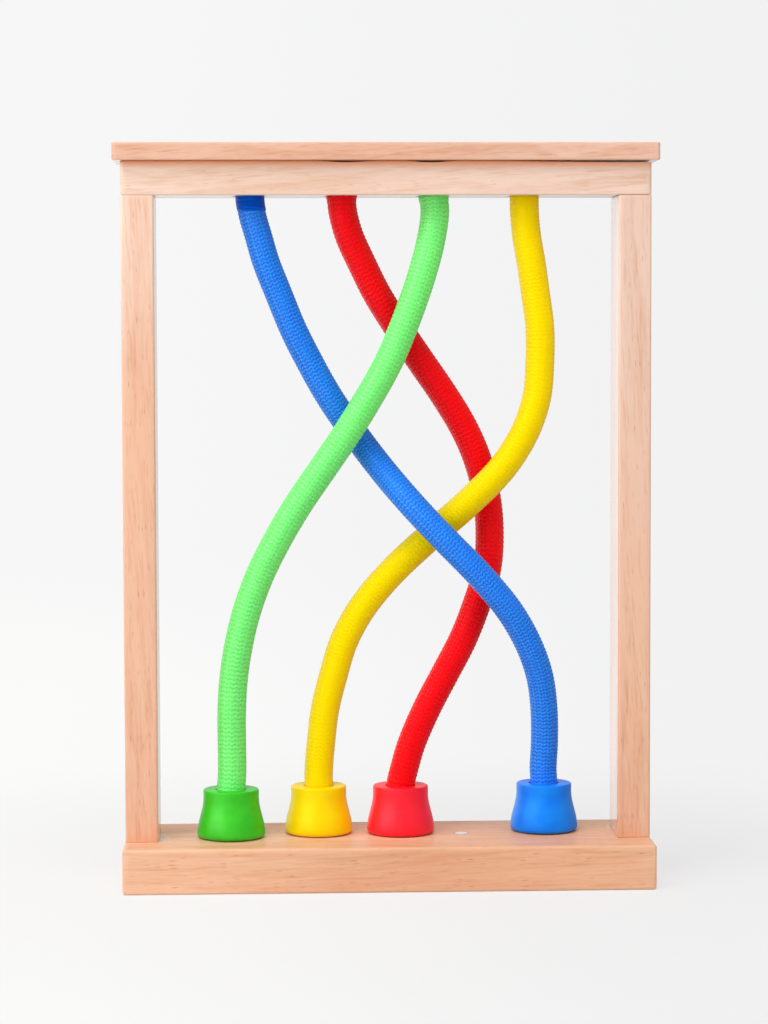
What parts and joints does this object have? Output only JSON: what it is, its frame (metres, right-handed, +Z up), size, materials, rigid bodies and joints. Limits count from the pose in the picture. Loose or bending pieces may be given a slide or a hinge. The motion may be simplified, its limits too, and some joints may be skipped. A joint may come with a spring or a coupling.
{
  "type": "rope puzzle",
  "caption": "Wooden frame toy with coloured braided ropes that hang from its top rail and end in magnetic bell-shaped cups, which are lifted and moved on the base to untangle the ropes.",
  "frame": {"origin": "underside of the base board, at the middle of its outline", "axes": "+Z up along the posts, +X to the player's right along the base, +Y to the back"},
  "size_m": [0.247, 0.07, 0.3374],
  "materials": {
    "beech": "sanded steamed beech with a thin matt seal",
    "dowel_beech": "plain turned beech",
    "zinc_steel": "zinc-plated steel",
    "nickel": "bright nickel plating on a disc magnet",
    "nylon": "natural moulded nylon",
    "blue_rope": "braided polyester, herringbone",
    "red_rope": "braided polyester, herringbone",
    "green_rope": "braided polyester, herringbone",
    "yellow_rope": "braided polyester, herringbone",
    "blue_wrap": "shrunk sleeve",
    "red_wrap": "shrunk sleeve",
    "green_wrap": "shrunk sleeve",
    "yellow_wrap": "shrunk sleeve",
    "blue_cup": "satin moulded plastic",
    "red_cup": "satin moulded plastic",
    "green_cup": "satin moulded plastic",
    "yellow_cup": "satin moulded plastic"
  },
  "bodies": {
    "frame": {"base_board": "beech", "left_post": "beech", "right_post": "beech", "top_rail": "beech", "cap_board": "beech", "left_foot_dowel_front": "dowel_beech", "left_foot_dowel_back": "dowel_beech", "right_foot_dowel_front": "dowel_beech", "right_foot_dowel_back": "dowel_beech", "left_head_dowel_front": "dowel_beech", "left_head_dowel_back": "dowel_beech", "right_head_dowel_front": "dowel_beech", "right_head_dowel_back": "dowel_beech", "cap_dowel_1": "dowel_beech", "cap_dowel_2": "dowel_beech", "cap_dowel_3": "dowel_beech", "left_post_screw": "zinc_steel", "right_post_screw": "zinc_steel", "base_magnet_1": "nickel", "base_magnet_2": "nickel", "base_magnet_3": "nickel", "base_magnet_4": "nickel", "base_magnet_5": "nickel", "blue_rope": "blue_rope", "red_rope": "red_rope", "green_rope": "green_rope", "yellow_rope": "yellow_rope", "blue_end_wrap": "blue_wrap", "red_end_wrap": "red_wrap", "green_end_wrap": "green_wrap", "yellow_end_wrap": "yellow_wrap", "blue_stop_collar": "nylon", "red_stop_collar": "nylon", "green_stop_collar": "nylon", "yellow_stop_collar": "nylon"},
    "green_end": {"green_cup": "green_cup", "green_cup_magnet": "nickel"},
    "yellow_end": {"yellow_cup": "yellow_cup", "yellow_cup_magnet": "nickel"},
    "red_end": {"red_cup": "red_cup", "red_cup_magnet": "nickel"},
    "blue_end": {"blue_cup": "blue_cup", "blue_cup_magnet": "nickel"}
  },
  "joints": [
    {"name": "green_cup_lift", "type": "slide", "parent": "frame", "child": "green_end", "axis": [0, 0, 1], "range_m": [0, 0.03], "deforming": ["green_rope"]},
    {"name": "yellow_cup_lift", "type": "slide", "parent": "frame", "child": "yellow_end", "axis": [0, 0, 1], "range_m": [0, 0.03], "deforming": ["yellow_rope"]},
    {"name": "red_cup_lift", "type": "slide", "parent": "frame", "child": "red_end", "axis": [0, 0, 1], "range_m": [0, 0.03], "deforming": ["red_rope"]},
    {"name": "blue_cup_lift", "type": "slide", "parent": "frame", "child": "blue_end", "axis": [0, 0, 1], "range_m": [0, 0.03], "deforming": ["blue_rope"]}
  ]
}
